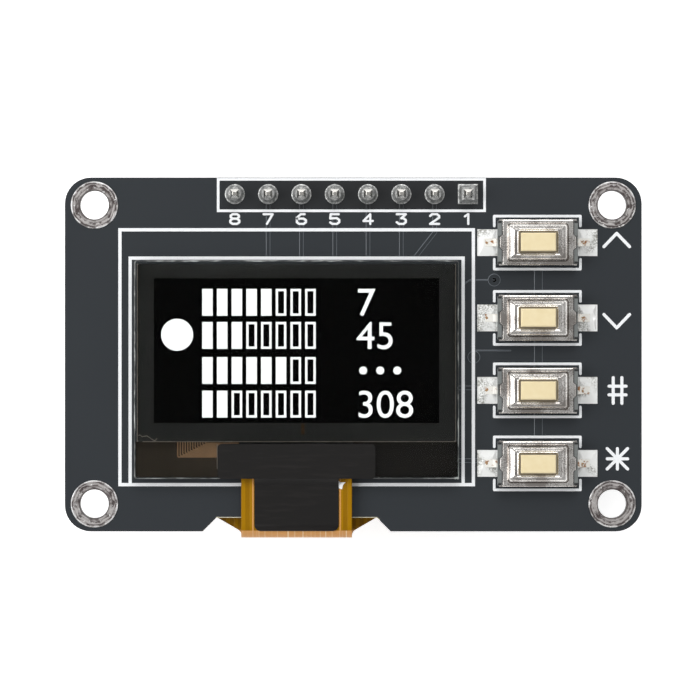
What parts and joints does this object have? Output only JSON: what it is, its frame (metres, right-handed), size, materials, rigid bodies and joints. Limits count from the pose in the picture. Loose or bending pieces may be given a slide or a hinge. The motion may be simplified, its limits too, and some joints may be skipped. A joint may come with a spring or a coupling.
{
  "type": "small oled display module with push switches",
  "caption": "Small OLED screen on a slate circuit board, with push switches beside it, a pin header on the rear and a flexible tail round the bottom edge.",
  "frame": {"origin": "middle of the four mounting holes, on the board's rear face", "axes": "+X along the board towards the switches, +Y across it towards the pin header, +Z out of the screen"},
  "size_m": [0.044, 0.0275, 0.0123],
  "materials": {
    "masked_board": "smooth slate solder mask over glass-fibre board",
    "print_ink": "flat white print",
    "tinned_copper": "bright levelled tin",
    "worn_tin": "scuffed tin plating",
    "foam_pad": "white double-sided pad",
    "display_glass": "clear glass over a dark layer",
    "seal_resin": "cured edge seal",
    "pixel_stack": "black unlit picture layers",
    "polarizer_film": "smooth neutral dark film",
    "silicon": "polished die",
    "polyimide_film": "amber film over copper tracks",
    "dark_tape": "thin dark film tape",
    "black_moulding": "plain black moulding",
    "plated_pin": "bright plated pins",
    "solder": "reflowed solder",
    "grey_moulding": "dark grey moulding",
    "pressed_cover": "bright pressed sheet",
    "cream_moulding": "satin cream moulding",
    "spring_metal": "spring sheet",
    "contact_metal": "plated contact strip",
    "black_epoxy": "moulded epoxy",
    "tan_ceramic": "fired ceramic",
    "dark_ceramic": "coated ceramic chip"
  },
  "bodies": {
    "module": {"board": "masked_board", "silkscreen": "print_ink", "lands": "tinned_copper", "mounting_rings": "worn_tin", "adhesive_pad": "foam_pad", "rear_glass": "display_glass", "seal_frame": "seal_resin", "pixel_layer": "pixel_stack", "front_glass": "display_glass", "polarizer": "polarizer_film", "driver_chip": "silicon", "flex_tail": "polyimide_film", "flex_solder": "solder", "shield_tape": "dark_tape", "header_strip": "black_moulding", "header_solder": "solder", "switch_solder": "solder", "regulator_body": "black_epoxy", "regulator_legs": "contact_metal", "diode_body": "black_epoxy", "diode_legs": "contact_metal", "capacitor_bodies": "tan_ceramic", "resistor_bodies": "dark_ceramic", "metal_ends": "tinned_copper", "small_part_solder": "solder", "header_pin_1": "plated_pin", "header_pin_2": "plated_pin", "header_pin_3": "plated_pin", "header_pin_4": "plated_pin", "header_pin_5": "plated_pin", "header_pin_6": "plated_pin", "header_pin_7": "plated_pin", "header_pin_8": "plated_pin", "switch_base_1": "grey_moulding", "switch_base_2": "grey_moulding", "switch_base_3": "grey_moulding", "switch_base_4": "grey_moulding", "switch_cover_1": "pressed_cover", "switch_cover_2": "pressed_cover", "switch_cover_3": "pressed_cover", "switch_cover_4": "pressed_cover", "switch_dome_1": "spring_metal", "switch_dome_2": "spring_metal", "switch_dome_3": "spring_metal", "switch_dome_4": "spring_metal", "left_contact_1": "contact_metal", "left_contact_2": "contact_metal", "left_contact_3": "contact_metal", "left_contact_4": "contact_metal", "right_contact_1": "contact_metal", "right_contact_2": "contact_metal", "right_contact_3": "contact_metal", "right_contact_4": "contact_metal"},
    "plunger_1": {"switch_plunger_1": "cream_moulding"},
    "plunger_2": {"switch_plunger_2": "cream_moulding"},
    "plunger_3": {"switch_plunger_3": "cream_moulding"},
    "plunger_4": {"switch_plunger_4": "cream_moulding"}
  },
  "joints": [
    {"name": "press_1", "type": "slide", "parent": "module", "child": "plunger_1", "axis": [0, 0, -1], "range_m": [0, 0.00025], "stiffness_N_per_m": 8000, "deforming": ["switch_dome_1"]},
    {"name": "press_2", "type": "slide", "parent": "module", "child": "plunger_2", "axis": [0, 0, -1], "range_m": [0, 0.00025], "stiffness_N_per_m": 8000, "deforming": ["switch_dome_2"]},
    {"name": "press_3", "type": "slide", "parent": "module", "child": "plunger_3", "axis": [0, 0, -1], "range_m": [0, 0.00025], "stiffness_N_per_m": 8000, "deforming": ["switch_dome_3"]},
    {"name": "press_4", "type": "slide", "parent": "module", "child": "plunger_4", "axis": [0, 0, -1], "range_m": [0, 0.00025], "stiffness_N_per_m": 8000, "deforming": ["switch_dome_4"]}
  ]
}
